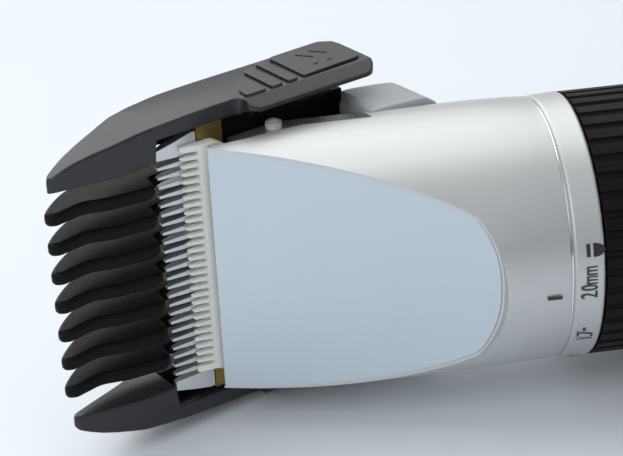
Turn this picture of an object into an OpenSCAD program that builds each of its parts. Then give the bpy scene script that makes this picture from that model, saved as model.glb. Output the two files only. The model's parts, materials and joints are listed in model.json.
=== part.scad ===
// Rechargeable hair clipper with a cut-length ring and a slide-on guide comb.
// The charge jack's mouth, on the axis at the tail, is the origin. The blades point to -X,
// the flat face plate looks to -Y, and the blade's width runs along Z.

/* [Body] */
// Outer diameter of the head housing at the ring
body_d = 44; // [40:1:52]
// Wall of the head housing
wall = 2; // [1.6:0.1:2.4]
// How much the head swells in front of the ring, in radius
swell = 0.35; // [0:0.05:0.5]
// Distance from the blade tips to the ring
head_len = 63; // [60:1:75]
// Length of the handle behind the ring, with the tail cap
handle_len = 106.7; // [100:1:150]
// Length of the tail cap
tail_len = 20; // [16:1:26]

/* [Cut-length ring] */
// Width of the ring
ring_w = 5; // [4:0.5:7]
// Gap on each side of the ring
ring_gap = 0.3; // [0.2:0.1:0.5]
// How far the ring turns, in degrees
ring_turn = 120; // [90:5:150]

/* [Face plate] */
// Slope of the flat face plate, in degrees
plate_slope = 21.4; // [20.4:0.2:23]
// Thickness of the face plate
plate_t = 1.4; // [1:0.1:1.6]
// Distance from the ring to the face plate's rounded end
plate_end = 11.3; // [11:0.1:14]
// Width of the narrow land that the housing keeps around the face plate
plate_land = 0.4; // [0.3:0.05:0.6]

/* [Blades] */
// Tilt of the blade plane from the handle's axis, in degrees
blade_tilt = 27; // [25:0.5:28]
// Height of the blade tips in front of the axis
blade_lift = 2.4; // [2:0.1:3]
// Width of the fixed blade across its tips
fixed_w = 44.2; // [40:0.2:46]
// Gaps between the fixed blade's teeth
fixed_gaps = 25; // [15:1:27]
// Pitch of the fixed blade's teeth
fixed_pitch = 1.65; // [1.5:0.01:1.66]
// Teeth of the ceramic moving blade
moving_teeth = 30; // [20:1:30]
// Pitch of the moving blade's teeth
moving_pitch = 1.38; // [1.2:0.01:1.4]
// Distance of the moving blade's tips behind the fixed blade's tips
moving_back = 4; // [3:0.1:5]
// Half of the moving blade's stroke, which is the eccentric's offset
throw = 1.2; // [0.8:0.1:1.4]

/* [Comb] */
// Inner teeth of the guide comb
comb_teeth = 7; // [3:2:7]
// Pitch of the guide comb's teeth
comb_pitch = 5.22; // [4.8:0.02:5.3]
// Thickness of an inner comb tooth
comb_tooth_t = 2.3; // [1.6:0.1:3]
// Depth of the comb below the blade plane, which sets the hair length
comb_depth = 10.4; // [8:0.2:14]
// Half width of the comb across its release tabs
comb_half_w = 28; // [27.4:0.1:30]
// Thickness of a release tab
tab_t = 2.4; // [2:0.1:2.8]

/* [Grip] */
// Depth that the grip's sleeve adds to the handle tube
grip_t = 2; // [1.6:0.1:2.4]
// Lengthwise ribs around the grip
ribs = 44; // [30:1:54]
// Radius of the groove between two ribs
groove_r = 0.7; // [0.4:0.05:0.8]

/* [Drive] */
// Diameter of the motor
motor_d = 24; // [20:1:24]
// Length of the motor
motor_l = 30; // [24:1:32]
// Diameter of the drive shaft
shaft_d = 3; // [2:0.1:3.2]
// Diameter of the eccentric's pin
pin_d = 2; // [1.6:0.1:2.2]
// Diameter of a battery cell
cell_d = 14; // [10:0.5:14.5]
// Length of a battery cell
cell_l = 50; // [44:1:50]

/* [Switch and socket] */
// Travel of the switch button
switch_travel = 3; // [2:0.5:4]
// Length of the switch button
button_l = 12; // [8:0.5:14]
// Width of the switch button
button_w = 7; // [5:0.5:9]
// Diameter of the charge jack's bore
jack_d = 3.6; // [3:0.1:4]
// Depth of the charge jack's bore
jack_depth = 10; // [8:0.5:11]

/* [Hidden] */
$fn = 96;
run_fit = 0.05;
gap = 0.3;
far = 200;

body_r = body_d / 2;
full_r = body_r + swell;
inner_r = body_r - wall;
seam_x = -(handle_len + ring_w + ring_gap);
tip_x = seam_x - head_len;
tip_y = -blade_lift;
handle_x = -handle_len;
grip_end_x = -tail_len;
tube_r = body_r + 0.2 - grip_t;
tube_in_r = tube_r - wall;

// Where the face plate's front edge lies, behind the blade tips and in front of the axis
nose_back = 8.2;
nose_y = -2.9;
plate_fit = 0.05;
// Stiffening hoop inside the housing, which carries the face plate's rounded end
hoop_x = seam_x - plate_end - 2.2;
hoop_l = 2.7;
hoop_r = inner_r - 1.5;
// Levels above (+) and below (-) the blade plane
blade_top = -0.15;
fixed_t = 1.7;
base_under = -2.1;
bed_top = 1.4;
bed_under = -2.5;
ceramic_t = 2.2;
ceramic_l = 9.8;
slide_low = bed_top + 0.2;
slide_high = slide_low + 0.9;
// Distances behind the blade tips
fixed_l = 7.4;
base_l = 20.3;
bed_l = 39;
slide_u = 15.2;
slide_l = 6.8;
stud_u = 23;
stud_v = -0.8;
stud_r = 1.4;
// Recess in the head's sides for the comb's arms
recess_z = 19.5;
side_in_z = recess_z - wall;
// Drive line
motor_x = seam_x - 6;
motor_r = motor_d / 2;
shaft_r = shaft_d / 2;
pin_r = pin_d / 2;
cam_r = 4.2;
cam_x = tip_x + 23;
cam_l = 6;
pin_l = 6;
bush_x = cam_x + 9;
bush_l = 4;
bush_r = 3.4;
// Cam sleeve inside the ring and the housing
sleeve_r = inner_r - 0.6;
sleeve_in_r = sleeve_r - 0.8;
sleeve_x = seam_x - 10.5;
push_z = 15;
push_w = 1.8;
frame_r = sleeve_in_r - 0.4;
flange_t = 2;
motor_screw_y = 8;
screw_r = 1.3;
// Battery pack and board
pack_x = seam_x + 34;
cell_z = cell_d / 2 + 1;
holder_t = 2;
board_y = -(cell_d / 2 + 2.5);
board_t = 1.6;
switch_x = handle_x + 36;
led_x = switch_x + 18;
button_out = 1.4;
// Tail
tail_r = body_r - 3;
tail_screw_z = 12;

// Draws in the blade's own frame: x runs back from the tips, y away from the blade plane
module in_blade_frame() {
    translate([tip_x, tip_y, 0]) rotate([0, 0, blade_tilt]) children();
}

// A block in the blade's frame, from low to high above the blade plane
module blade_block(u0, u1, low, high, z0, z1) {
    in_blade_frame() translate([u0, -high, z0]) cube([u1 - u0, high - low, z1 - z0]);
}

// An outline of (back, up) points in the blade's frame, as wide as z0 to z1
module blade_slab(points, z0, z1) {
    in_blade_frame() translate([0, 0, z0]) linear_extrude(z1 - z0)
        polygon([for (p = points) [p[0], -p[1]]]);
}

module rod_x(x0, x1, r) {
    translate([x0, 0, 0]) rotate([0, 90, 0]) cylinder(h = x1 - x0, r = r);
}

module tube_x(x0, x1, r, hole) {
    difference() {
        rod_x(x0, x1, r);
        rod_x(x0 - 1, x1 + 1, hole);
    }
}

// A cylinder along the blade plane's normal
module blade_rod(u, low, high, z, r) {
    in_blade_frame() translate([u, -low, z]) rotate([90, 0, 0]) cylinder(h = high - low, r = r);
}

module both_sides() {
    children();
    mirror([0, 0, 1]) children();
}

// Everything in front of the face plate's plane, sunk by depth
module before_plate(depth) {
    translate([tip_x + nose_back, nose_y, 0]) rotate([0, 0, -plate_slope])
        translate([-far / 2, depth - far, -far / 2]) cube([far, far, far]);
}

// Space beside the head that the comb's arms slide through
module arm_recess() {
    outline = concat([[-58, 4]], recess_edge(), [[-33, -30], [-58, -30]]);
    translate([seam_x, 0, 0]) linear_extrude(far) polygon([for (p = outline) [p[0], -p[1]]]);
}

// Upper and rear edge of the arm recess, as (from the ring, in front of the axis) points
function recess_edge() = [[-54.6, 2.4], [-48, 0.8], [-39, -2.3], [-27.4, -2.4], [-30, -15]];

// Head's outer form: a barrel that swells a little in front of the ring, with a small chamfer at it
module head_barrel() {
    rotate([0, 90, 0]) rotate_extrude()
        polygon([[0, tip_x + 3], [full_r, tip_x + 3], [full_r, seam_x - 9], [body_r + swell * 0.6, seam_x - 4],
            [body_r, seam_x - 0.5], [body_r - 0.4, seam_x - ring_gap], [0, seam_x - ring_gap]]);
}

// Everything within the face plate's outline: a squared-off half ellipse that opens out at the blades
module plate_outline(grow) {
    half = body_r - 3.8 + grow;
    length = body_r - 4 + grow;
    start_x = seam_x - plate_end + grow - length;
    roundness = 0.91;
    translate([start_x, far / 2, 0]) rotate([90, 0, 0]) linear_extrude(far) polygon(concat(
        [for (a = [-90:5:90])
            [length * pow(cos(a), roundness), half * sign(a) * pow(abs(sin(a)), roundness)]],
        [[-8, half + 3.5], [-30, far / 2], [-far, far / 2], [-far, -far / 2], [-30, -far / 2],
            [-8, -half - 3.5]]));
}

// The squared heel at the back of the head
module heel() {
    half = body_r - 0.2;
    back = body_r + 0.9;
    corner = 7.5;
    hull() {
        for (z = [-1, 1])
            translate([seam_x - 31, back - corner - 1.2, z * (half - corner)])
                rotate([0, 90, 0]) cylinder(h = 4, r = corner, $fn = 32);
        for (z = [-1, 1])
            translate([seam_x - 24, back - corner, z * (half - corner)])
                rotate([0, 90, 0]) cylinder(h = 3, r = corner, $fn = 32);
        rod_x(seam_x - 16, seam_x - 15, full_r + 0.05);
        translate([seam_x - 30, 6, 0]) cube([1, 1, 2 * half], center = true);
    }
}

// Region that the rear cover fills
module cover_region(shrink) {
    translate([seam_x, 0, -far / 2]) linear_extrude(far)
        polygon([[-27.2 + shrink, 5.3 + shrink], [-14.5 - shrink, 9.2 + shrink], [-12.5 - shrink, 14],
            [-12.5 - shrink, 40], [-45, 40], [-31, 17]]);
}

module head_shell() {
    color([0.74, 0.75, 0.75]) difference() {
        union() {
            difference() {
                head_barrel();
                rod_x(tip_x, hoop_x, inner_r);
                rod_x(hoop_x - 1, hoop_x + hoop_l, hoop_r);
                rod_x(hoop_x + hoop_l, seam_x + 1, inner_r);
                both_sides() translate([0, 0, recess_z]) arm_recess();
            }
            both_sides() intersection() {
                translate([0, 0, side_in_z]) arm_recess_wall();
                rod_x(tip_x + 4, seam_x, body_r - 0.5);
            }
        }
        intersection() {
            before_plate(0);
            plate_outline(plate_land);
        }
        intersection() {
            before_plate(plate_t + plate_fit);
            plate_outline(plate_fit);
            rod_x(tip_x, seam_x, full_r - plate_land + plate_fit);
        }
        cover_region(0);
        in_blade_frame() translate([-10, -bed_under, -far / 2]) cube([far, far, far]);
        blade_block(-10, slide_u - 0.4, bed_under - 1, 2.9, -far / 2, far / 2);
        both_sides() stud_hole();
    }
}

// Inner side wall of the arm recess, as thick as the housing
module arm_recess_wall() {
    edge = [[-58, 5.5], [-48, 2.6], [-39, -0.4], [-25.4, -0.4], [-28.4, -16.5], [-34, -30], [-58, -30]];
    ledge = concat(recess_edge(), [[-28, -15], [-25.4, -0.4], [-39, -0.4], [-48, 2.6], [-54.6, 4.4]]);
    translate([seam_x, 0, 0]) linear_extrude(wall) polygon([for (p = edge) [p[0], -p[1]]]);
    translate([seam_x, 0, 0]) linear_extrude(wall + 1.4) polygon([for (p = ledge) [p[0], -p[1]]]);
}

module stud_hole() {
    in_blade_frame() translate([stud_u, -stud_v, side_in_z - 1]) cylinder(h = wall + 2, r = stud_r);
}

module face_plate() {
    color([0.78, 0.83, 0.86]) intersection() {
        difference() {
            rod_x(tip_x + nose_back - 0.4, seam_x - 1, full_r - plate_land);
            before_plate(0);
        }
        before_plate(plate_t);
        plate_outline(0);
    }
}

module rear_cover() {
    color([0.42, 0.44, 0.45]) difference() {
        intersection() {
            heel();
            cover_region(0.05);
        }
        rod_x(tip_x, seam_x, inner_r);
        both_sides() translate([0, 0, recess_z]) arm_recess();
        blade_block(-10, bed_l + 0.4, -far / 2, bed_under + 0.4, -far / 2, far / 2);
        both_sides() cover_screw_place() {
            cylinder(h = 6, r = screw_r);
            translate([0, 0, -far]) cylinder(h = far + 0.2, r = 2.5);
        }
    }
}

// Axis of a rear cover screw, from its head inwards
module cover_screw_place() {
    translate([seam_x - 19, inner_r + 1.3, 7]) rotate([90, 0, 0]) children();
}

module cover_screws() {
    color("silver") both_sides() cover_screw_place() {
        translate([0, 0, -0.9]) cylinder(h = 1, r = 2.3);
        cylinder(h = 5, r = screw_r);
    }
}

module head_base() {
    half = side_in_z - 0.1;
    color([0.2, 0.2, 0.21]) difference() {
        intersection() {
            union() {
                blade_block(slide_u - 0.6, bed_l, 0, bed_top, -half, half);
                blade_block(base_l + 0.2, bed_l, bed_under, bed_top, -half, half);
            }
            rod_x(tip_x, seam_x, inner_r - run_fit);
        }
        both_sides() blade_rod(17.6, -5, 5, 11, screw_r);
        both_sides() stud_hole();
        rod_x(bush_x - 2, seam_x, inner_r - 7);
    }
}

module base_plate() {
    color([0.55, 0.45, 0.2]) difference() {
        union() {
            blade_block(fixed_l + 0.2, 12.5, base_under, blade_top, -fixed_w / 2 - 2.1, fixed_w / 2 + 2.1);
            blade_block(fixed_l + 0.2, base_l, base_under, blade_top, -side_in_z, side_in_z);
        }
        blade_block(0, 14.1, -5, -1, -15.1, 15.1);
        both_sides() blade_rod(17.6, -5, 5, 11, screw_r);
    }
}

module fixed_blade() {
    half = fixed_w / 2;
    flare = 1.6;
    outline = [[0, -half], [6.5, -half - flare], [fixed_l, -half - flare],
        [fixed_l, half + flare], [6.5, half + flare], [0, half]];
    color([0.8, 0.81, 0.82]) difference() {
        union() {
            in_blade_frame() rotate([90, 0, 0]) translate([0, 0, blade_top - fixed_t])
                linear_extrude(fixed_t) difference() {
                    polygon([for (p = outline) [p[0], p[1]]]);
                    for (i = [0:fixed_gaps - 1])
                        translate([0, (i - (fixed_gaps - 1) / 2) * fixed_pitch])
                            polygon([[-1, -0.62], [4.9, -0.38], [5.3, 0], [4.9, 0.38], [-1, 0.62]]);
                }
            blade_block(fixed_l - 0.1, 14, blade_top - fixed_t, -1.1, -15, 15);
        }
        blade_slab([[-1, -0.9], [5, -3], [-1, -3]], -far / 2, far / 2);
        blade_slab([[-1, 0], [-1, -0.55], [3.4, blade_top], [3.4, 0]], -far / 2, far / 2);
    }
}

module blade_screws() {
    color("silver") both_sides() {
        blade_rod(17.6, base_under, bed_top, 11, screw_r);
        difference() {
            blade_rod(17.6, bed_under, base_under, 11, 2.2);
            blade_rod(17.6, bed_under - 1, bed_under + 0.2, 11, 0.8);
        }
    }
}

module comb_studs() {
    color([0.9, 0.9, 0.88]) both_sides() in_blade_frame() translate([stud_u, -stud_v, side_in_z])
        rotate_extrude() intersection() {
            union() {
                square([stud_r, 3.1]);
                translate([0, 2.2]) circle(r = stud_r);
            }
            square([5, 5]);
        }
}

module trim_ring() {
    color([0.85, 0.86, 0.87])
        tube_x(seam_x - ring_gap, seam_x, body_r - 0.35, sleeve_r + gap);
}

module chassis() {
    color([0.25, 0.26, 0.27]) difference() {
        union() {
            rod_x(motor_x - flange_t, motor_x, frame_r);
            tube_x(motor_x, motor_x + motor_l, frame_r, frame_r - 2);
            for (z = [-8.2, 5.8])
                translate([bush_x, -2, z]) cube([motor_x - bush_x, 4, 2.4]);
            translate([bush_x, -4.6, -8.2]) cube([bush_l, 9.2, 16.4]);
            both_sides() translate([motor_x, -3, motor_r]) cube([motor_l, 6, frame_r - 1 - motor_r]);
        }
        rod_x(bush_x - 1, bush_x + bush_l + 1, bush_r);
        rod_x(motor_x - 5, motor_x + 1, 4);
        motor_screw_holes();
        detent_place() translate([0, 0, -4.5]) cylinder(h = 6, r = 1.2);
    }
}

module motor_screw_places() {
    for (y = [-motor_screw_y, motor_screw_y]) translate([0, y, 0]) children();
}

module motor_screw_holes() {
    motor_screw_places() rod_x(motor_x - 6, motor_x + 3, screw_r);
}

// Radial pocket of the detent, at the ring's front side
module detent_place() {
    translate([motor_x + 1.8, -frame_r, 0]) rotate([90, 0, 0]) children();
}

module detent_ball() {
    color("silver") detent_place() translate([0, 0, -0.9]) sphere(r = 1.1, $fn = 48);
}

module detent_spring() {
    color([0.6, 0.6, 0.62]) detent_place() translate([0, 0, -4.4]) difference() {
        cylinder(h = 2.4, r = 1.15);
        translate([0, 0, -1]) cylinder(h = 5, r = 0.7);
    }
}

module motor_can() {
    color([0.7, 0.71, 0.72]) difference() {
        union() {
            rod_x(motor_x, motor_x + motor_l - 3, motor_r);
            rod_x(motor_x - 1.6, motor_x + 1, 3.8);
        }
        rod_x(motor_x - 5, motor_x + 13, shaft_r + run_fit);
        motor_screw_holes();
    }
}

module motor_cap() {
    color([0.15, 0.15, 0.16]) difference() {
        union() {
            rod_x(motor_x + motor_l - 3, motor_x + motor_l, motor_r);
            rod_x(motor_x + motor_l, motor_x + motor_l + 1.2, 4);
        }
        both_sides() translate([motor_x + motor_l - 1, -0.35, 5]) cube([5, 0.7, 3]);
    }
}

module motor_terminals() {
    color([0.8, 0.7, 0.4]) both_sides()
        translate([motor_x + motor_l - 1, -0.35, 5]) cube([5, 0.7, 3]);
}

module motor_screws() {
    color("silver") motor_screw_places() {
        rod_x(motor_x - flange_t, motor_x + 3, screw_r);
        rod_x(motor_x - flange_t - 1.2, motor_x - flange_t, 2.2);
    }
}

module shaft_bush() {
    color([0.6, 0.48, 0.25]) tube_x(bush_x, bush_x + bush_l, bush_r, shaft_r + run_fit);
}

module drive_shaft() {
    color("silver") rod_x(cam_x + cam_l - 4, motor_x + 12, shaft_r);
}

module eccentric_cam() {
    color([0.85, 0.85, 0.82]) difference() {
        union() {
            rod_x(cam_x, cam_x + cam_l, cam_r);
            translate([0, 0, throw]) rod_x(cam_x - pin_l, cam_x + 1, pin_r);
        }
        rod_x(cam_x + cam_l - 4, cam_x + cam_l + 1, shaft_r);
    }
}

module handle_tube() {
    color([0.1, 0.1, 0.11]) difference() {
        tube_x(handle_x, grip_end_x + 4, tube_r, tube_in_r);
        switch_window(button_w + 2, button_l + switch_travel + 2);
        translate([led_x, 0, 0]) rotate([90, 0, 0]) cylinder(h = far, r = 1.5);
    }
}

// Opening for the switch, through the front of the handle
module switch_window(w, l) {
    translate([switch_x - l / 2, -far, -w / 2]) cube([l, far - 10, w]);
}

module grip_sleeve() {
    color([0.05, 0.05, 0.055]) difference() {
        translate([handle_x, 0, 0]) rotate([0, 90, 0]) linear_extrude(grip_end_x - handle_x) difference() {
            circle(r = tube_r + grip_t);
            circle(r = tube_r);
            for (i = [0:ribs - 1])
                rotate((i + 0.5) * 360 / ribs) translate([tube_r + grip_t + 0.15, 0])
                    circle(r = groove_r, $fn = 24);
        }
        switch_window(button_w + 4, button_l + switch_travel + 4);
        translate([led_x, 0, 0]) rotate([90, 0, 0]) cylinder(h = far, r = 1.5);
    }
}

module switch_bezel() {
    color([0.6, 0.62, 0.63]) difference() {
        intersection() {
            rod_x(handle_x, grip_end_x, tube_r + grip_t + 0.4);
            switch_window(button_w + 4, button_l + switch_travel + 4);
        }
        rod_x(handle_x - 1, grip_end_x + 1, tube_r);
        switch_window(button_w + 0.6, button_l + switch_travel + 0.6);
    }
}

module switch_button() {
    top = tube_r + grip_t + button_out;
    color([0.12, 0.12, 0.13]) difference() {
        translate([switch_x - (button_l + switch_travel) / 2, 0, 0]) {
            intersection() {
                rod_x(0, button_l, top);
                translate([0, -far, -button_w / 2]) cube([button_l, far - tube_r + 1.2, button_w]);
            }
            translate([button_l / 2 - 1.5, -tube_r, -1.5]) cube([3, tube_r + board_y - 2.6, 3]);
        }
        for (i = [-2:2])
            translate([switch_x - switch_travel / 2 + i * 2 - 0.35, -top - 0.2, -button_w])
                cube([0.7, 0.7, 2 * button_w]);
    }
}

module circuit_board() {
    color([0.1, 0.35, 0.2])
        translate([pack_x, board_y - board_t, -12.5]) cube([cell_l, board_t, 25]);
}

module switch_body() {
    color([0.75, 0.75, 0.76]) difference() {
        translate([switch_x - 6, board_y - board_t - 4, -4]) cube([12, 4, 8]);
        translate([switch_x - 5, board_y - board_t - 5, -2]) cube([10, 4, 4]);
    }
}

module charge_led() {
    color([0.9, 0.3, 0.2])
        translate([led_x, board_y - board_t, 0]) rotate([90, 0, 0]) cylinder(h = 2.5, r = 1.5);
}

module indicator_lens() {
    color([0.9, 0.95, 0.95]) intersection() {
        translate([led_x, board_y - board_t - 2.6, 0]) rotate([90, 0, 0]) cylinder(h = far, r = 1.5);
        rod_x(handle_x, grip_end_x, tube_r + grip_t - 0.1);
    }
}

module battery_cells() {
    color([0.2, 0.5, 0.35]) both_sides() translate([0, 0, cell_z]) {
        rod_x(pack_x, pack_x + cell_l - 1.5, cell_d / 2);
        rod_x(pack_x + cell_l - 1.5, pack_x + cell_l, 2.7);
    }
}

module battery_holder() {
    holder_r = tube_in_r - 0.1;
    color([0.2, 0.2, 0.22]) {
        difference() {
            union() {
                for (x = [pack_x - holder_t - 0.3, pack_x + cell_l + 0.3]) rod_x(x, x + holder_t, holder_r);
                translate([pack_x - holder_t, cell_d / 2 + 0.6, -6])
                    cube([cell_l + 2 * holder_t, 3, 12]);
            }
            translate([pack_x - far / 2, -far - 12, -far / 2]) cube([far, far, far]);
        }
    }
}

module battery_contacts() {
    color([0.8, 0.8, 0.78]) {
        translate([pack_x - 0.3, -4, -cell_z - 4]) cube([0.3, 8, 2 * cell_z + 8]);
        both_sides() translate([pack_x + cell_l, -4, cell_z - 4]) cube([0.3, 8, 8]);
    }
}

module motor_leads() {
    color([0.7, 0.1, 0.1]) both_sides() translate([0, 0, 6.5])
        rod_x(motor_x + motor_l + 4, pack_x - holder_t - 0.3, 0.8);
}

module tail_cap() {
    color([0.07, 0.07, 0.075]) difference() {
        rotate([0, 90, 0]) rotate_extrude() {
            polygon([[0, -tail_len + 0.2], [body_r + 0.1, -tail_len + 0.2], [body_r, -tail_len + 5],
                [tail_r, -3], [tail_r - 3, 0], [0, 0]]);
        }
        rod_x(-tail_len - 1, -tail_len + 5, tube_r + 0.05);
        rod_x(-tail_len, -3, tail_r - 4);
        rod_x(-jack_depth - 2, 1, 3.2);
        both_sides() translate([0, 0, tail_screw_z]) {
            rod_x(-4, 1, screw_r);
            rod_x(-1.2, 1, 2.4);
        }
    }
}

module tail_seal() {
    color([0.05, 0.05, 0.05]) tube_x(-tail_len + 4, -tail_len + 5, tube_r - 0.1, tube_in_r - 0.6);
}

module tail_screws() {
    color("silver") both_sides() translate([0, 0, tail_screw_z]) {
        rod_x(-7, -1.2, screw_r);
        difference() {
            rod_x(-1.2, -0.1, 2.3);
            translate([-0.6, -0.4, -2]) cube([1, 0.8, 4]);
        }
    }
}

module charge_jack() {
    color([0.15, 0.15, 0.16]) difference() {
        rod_x(-jack_depth - 1.5, 0, 3.2);
        rod_x(-jack_depth, 1, jack_d / 2);
        rod_x(-jack_depth - 3, -jack_depth + 1, 0.8);
    }
}

module jack_contacts() {
    color([0.8, 0.7, 0.4]) {
        rod_x(-jack_depth - 4, -jack_depth - 0.3, 0.8);
        translate([-jack_depth - 3.5, 1.6, -1]) cube([2, 0.5, 2]);
    }
}

module adjust_ring() {
    color([0.82, 0.83, 0.83]) rotate([0, 90, 0]) rotate_extrude()
        polygon([[sleeve_r, seam_x], [body_r - 0.3, seam_x], [body_r + 0.1, seam_x + 0.4],
            [body_r + 0.3, seam_x + ring_w - 0.4], [body_r, seam_x + ring_w], [sleeve_r, seam_x + ring_w]]);
}

module cam_sleeve() {
    color([0.5, 0.5, 0.52]) difference() {
        union() {
            tube_x(sleeve_x, seam_x + ring_w, sleeve_r, sleeve_in_r);
            tube_x(sleeve_x, sleeve_x + 1.4, sleeve_r, push_z - 0.6);
        }
        for (i = [0:4]) rotate([i * ring_turn / 4, 0, 0])
            translate([motor_x + 1.8, -sleeve_in_r + 0.3, 0]) rotate([90, 0, 0]) cylinder(h = 3, r = 1);
    }
}

module cutter_slide() {
    color([0.3, 0.3, 0.31]) {
        difference() {
            blade_block(slide_u, slide_u + slide_l, slide_low, slide_high, -push_z - push_w, push_z + push_w);
            blade_block(slide_u - 1, slide_u + slide_l + 1, 0, 5, -8.7, 8.7);
        }
        blade_block(slide_u + slide_l - 1.6, slide_u + slide_l, slide_low, slide_high, -9, 9);
        both_sides() {
            blade_block(slide_u, slide_u + 3.6, slide_low, 7.4, push_z, push_z + push_w);
            push_rod_x = tip_x + 17.4;
            translate([push_rod_x, -3.2, push_z]) cube([sleeve_x - 0.2 - push_rod_x, 2.6, push_w]);
        }
    }
}

module blade_springs() {
    color([0.75, 0.75, 0.78]) both_sides()
        blade_block(9.6, slide_u + slide_l, slide_high, slide_high + 0.35, 10, 14);
}

module ceramic_blade() {
    half = moving_teeth * moving_pitch / 2;
    root = 2.9;
    color([0.93, 0.93, 0.9]) translate([0, 0, throw]) difference() {
        blade_slab([[moving_back, 0], [moving_back + ceramic_l, 0], [moving_back + ceramic_l, ceramic_t],
            [moving_back + 4, ceramic_t], [moving_back + 3, 1.5], [moving_back, 0.7]], -half, half);
        in_blade_frame() rotate([90, 0, 0]) translate([moving_back, 0, -1]) linear_extrude(5)
            for (i = [1:moving_teeth - 1])
                translate([0, i * moving_pitch - half])
                    polygon([[-1, -0.55], [root, -0.3], [root, 0.3], [-1, 0.55]]);
        both_sides() in_blade_frame() rotate([90, 0, 0]) translate([moving_back, half, -1])
            linear_extrude(5) polygon([[5, 0.1], [6.4, -0.25], [7.5, -1], [8.1, -2], [8.3, -3.2],
                [20, -3.2], [20, 1], [5, 1]]);
    }
}

module blade_driver() {
    slot_half = pin_r + 2 * throw + 0.1;
    color([0.2, 0.2, 0.22]) translate([0, 0, throw]) {
        blade_block(moving_back + 6.4, slide_u - 1.4, ceramic_t, ceramic_t + 0.9, -8.4 + throw, 8.4 - throw);
        difference() {
            for (z = [slot_half, -slot_half - 2])
                translate([tip_x + 13, -2.2, z]) cube([cam_x - 2 - tip_x - 13 - 0.6, 3.8, 2]);
            blade_block(-5, bed_l, -10, ceramic_t, -far / 2, far / 2);
        }
    }
}

// Profile of an inner comb tooth, as (back, up) points: near edge, then skin edge
function tooth_profile() = [[-19.7, -1.5], [-18.6, -1.1], [-13.4, -2], [-9.3, -0.3], [-2.5, 0.7],
    [-0.9, -0.3], [-0.7, -2.8], [38.6, -2.8], [38.6, -comb_depth + 1], [37, -comb_depth],
    [2, -comb_depth], [-4, -comb_depth + 0.1], [-8.5, -comb_depth + 0.5], [-13.9, -8], [-16.7, -6.1],
    [-18.8, -4.3], [-20, -2.9]];

// Profile of a side wall with its release tab
function wall_profile() = [[-19.6, -1.6], [-18.5, -1.1], [-10, 0.6], [-8, 1], [15, 1], [15.6, 3.8],
    [16.6, 4.6], [39.6, 4.6], [41.3, 3], [41.3, -9], [39.6, -comb_depth - 0.3], [6, -comb_depth],
    [-0.7, -9.2], [-3.9, -8.4], [-7.9, -6.6], [-11.5, -5.4], [-15.1, -4.2], [-18.7, -2.9]];

// Plan of a side wall, as (back, out) points: it flares from the tip to the tab
function wall_plan() = [[-20, 21.4], [-18.8, 22.8], [-15, 24.5], [-10, 25.8], [-4, 26.7],
    [5, comb_half_w - 0.7], [14, comb_half_w], [41.4, comb_half_w], [41.4, comb_half_w - tab_t],
    [15, comb_half_w - tab_t], [15, 24.6], [-0.9, 24.6], [-0.9, 20.6], [-20, 20.2]];

module guide_comb() {
    color([0.06, 0.06, 0.06]) {
        for (i = [0:comb_teeth - 1])
            translate([0, 0, (i - (comb_teeth - 1) / 2) * comb_pitch])
                blade_slab(tooth_profile(), -comb_tooth_t / 2, comb_tooth_t / 2);
        blade_block(12, 38.6, -5, -2.8, -21.2, 21.2);
        both_sides() {
            intersection() {
                blade_slab(wall_profile(), 20, comb_half_w);
                in_blade_frame() rotate([90, 0, 0]) translate([0, 0, -20]) linear_extrude(40)
                    polygon(wall_plan());
            }
            blade_slab([[12, -2.9], [34, -2.9], [38.6, -comb_depth + 1.5], [38.6, -comb_depth],
                [12, -comb_depth]], 21, comb_half_w - 1);
            blade_slab([[-0.9, -5], [15, -5], [15, -comb_depth + 0.2], [-0.9, -9]], 20.6, 25.4);
        }
    }
}

head_shell();
face_plate();
rear_cover();
cover_screws();
head_base();
base_plate();
fixed_blade();
blade_screws();
comb_studs();
trim_ring();
chassis();
motor_can();
motor_cap();
motor_terminals();
motor_screws();
shaft_bush();
detent_ball();
detent_spring();
handle_tube();
grip_sleeve();
battery_cells();
battery_holder();
battery_contacts();
motor_leads();
circuit_board();
switch_body();
switch_bezel();
charge_led();
indicator_lens();
tail_cap();
tail_seal();
tail_screws();
charge_jack();
jack_contacts();
adjust_ring();
cam_sleeve();
cutter_slide();
blade_springs();
ceramic_blade();
blade_driver();
drive_shaft();
eccentric_cam();
switch_button();
guide_comb();
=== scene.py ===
"""Hair clipper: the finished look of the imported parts, an add-on that is run as a script."""

import json
import math

import bmesh
import bpy
from bpy.props import FloatProperty, FloatVectorProperty, IntProperty, PointerProperty
from mathutils import Matrix, Vector

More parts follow.
